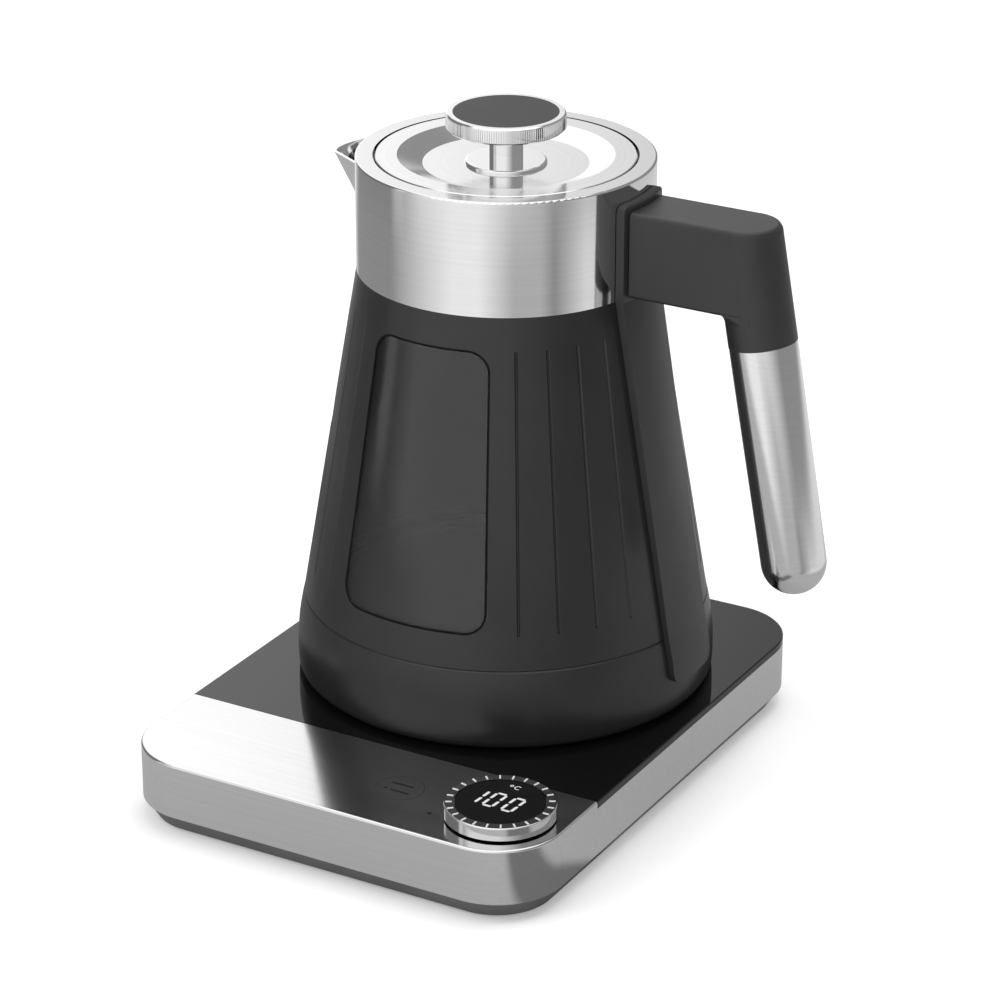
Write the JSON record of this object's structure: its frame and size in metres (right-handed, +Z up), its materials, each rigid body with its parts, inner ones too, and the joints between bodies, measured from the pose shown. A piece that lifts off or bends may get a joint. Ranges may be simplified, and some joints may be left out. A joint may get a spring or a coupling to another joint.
{
  "type": "electric kettle with power base",
  "caption": "Electric kettle with glass window, steel collar, V spout and side handle, lifting off a square glass-topped base with a temperature dial.",
  "frame": {"origin": "on the table plane under the kettle's own axis, which is also the axis of the base's connector", "axes": "+Z up along the kettle's axis; +X towards the handle, -X towards the spout; -Y towards the front edge with the dial, +Y towards the cord inlet at the back"},
  "size_m": [0.2186, 0.226, 0.2482],
  "materials": {
    "shell_steel": "fine horizontal brushing",
    "glass_black": "polished black-backed glass",
    "pan_plastic": "fine grain",
    "foot_rubber": "soft, matt",
    "zinc_steel": "zinc plated",
    "frame_plastic": "satin",
    "coupler_black": "satin",
    "board_green": "solder mask with moulded parts",
    "pad_metal": "satin",
    "led_clear": "smoked light pipe",
    "contact_brass": "bright",
    "dial_black": "glossy",
    "dial_steel": "circular brushing",
    "print_white": "printed marks",
    "body_black": "satin black",
    "ceramic_white": "matt",
    "element_steel": "dull sheath",
    "heat_aluminium": "cast",
    "floor_steel": "bright",
    "seal_rubber": "food-grade silicone",
    "jug_glass": "clear",
    "jacket_black": "satin black powder coat",
    "pane_smoke": "smoked and polished",
    "collar_steel": "fine brushing round the body",
    "strainer_steel": "bright sheet",
    "handle_black": "satin",
    "core_plastic": "as moulded",
    "grip_steel": "fine brushing along the grip",
    "cap_steel": "polished",
    "lid_steel": "circular brushing",
    "lid_plastic": "satin",
    "knob_steel": "polished with a knurled edge",
    "inlay_black": "fine grain"
  },
  "bodies": {
    "base": {"base_shell": "shell_steel", "glass_plate": "glass_black", "bottom_pan": "pan_plastic", "rubber_feet": "foot_rubber", "pan_screws": "zinc_steel", "chassis": "frame_plastic", "cord_bush": "coupler_black", "power_board": "board_green", "control_board": "board_green", "touch_sensor": "pad_metal", "indicator_led": "led_clear", "coupler_post": "coupler_black", "coupler_contacts": "contact_brass", "dial_encoder": "frame_plastic"},
    "dial_press": {"dial_core": "coupler_black", "dial_display": "dial_black"},
    "dial": {"dial_ring": "dial_steel", "dial_ticks": "print_white"},
    "kettle_lift": {"coupler_socket": "coupler_black", "socket_contacts": "contact_brass"},
    "kettle": {"base_ring": "body_black", "bottom_cover": "coupler_black", "cover_screws": "zinc_steel", "thermostat": "ceramic_white", "heating_element": "element_steel", "heat_spreader": "heat_aluminium", "floor_plate": "floor_steel", "jug_seal_lower": "seal_rubber", "glass_jug": "jug_glass", "jug_seal_upper": "seal_rubber", "jacket": "jacket_black", "window_pane": "pane_smoke", "collar": "collar_steel", "spout_strainer": "strainer_steel", "handle_spine": "handle_black", "handle_arm": "handle_black", "grip_core": "core_plastic", "grip_sleeve": "grip_steel", "grip_cap": "cap_steel", "grip_rod": "zinc_steel", "handle_screws": "zinc_steel"},
    "lid": {"lid_plate": "lid_steel", "lid_body": "lid_plastic", "lid_gasket": "seal_rubber", "lid_liner": "strainer_steel", "lid_knob": "knob_steel", "knob_inlay": "inlay_black", "knob_screw": "zinc_steel"}
  },
  "joints": [
    {"name": "dial_press", "type": "slide", "parent": "base", "child": "dial_press", "axis": [0, 0, -1], "range_m": [0, 0.0005], "stiffness_N_per_m": 1000, "springref_m": -0.002},
    {"name": "dial_turn", "type": "hinge", "parent": "dial_press", "child": "dial", "pos_m": [0.0615, -0.112, 0.0297], "axis": [0, 0, -1], "continuous": true},
    {"name": "kettle_lift", "type": "slide", "parent": "base", "child": "kettle_lift", "axis": [0, 0, 1], "range_m": [0, 0.06]},
    {"name": "kettle_turn", "type": "hinge", "parent": "kettle_lift", "child": "kettle", "pos_m": [0, 0, 0.029], "axis": [0, 0, 1], "continuous": true},
    {"name": "lid_lift", "type": "slide", "parent": "kettle", "child": "lid", "axis": [0, 0, 1], "range_m": [0, 0.08]}
  ]
}
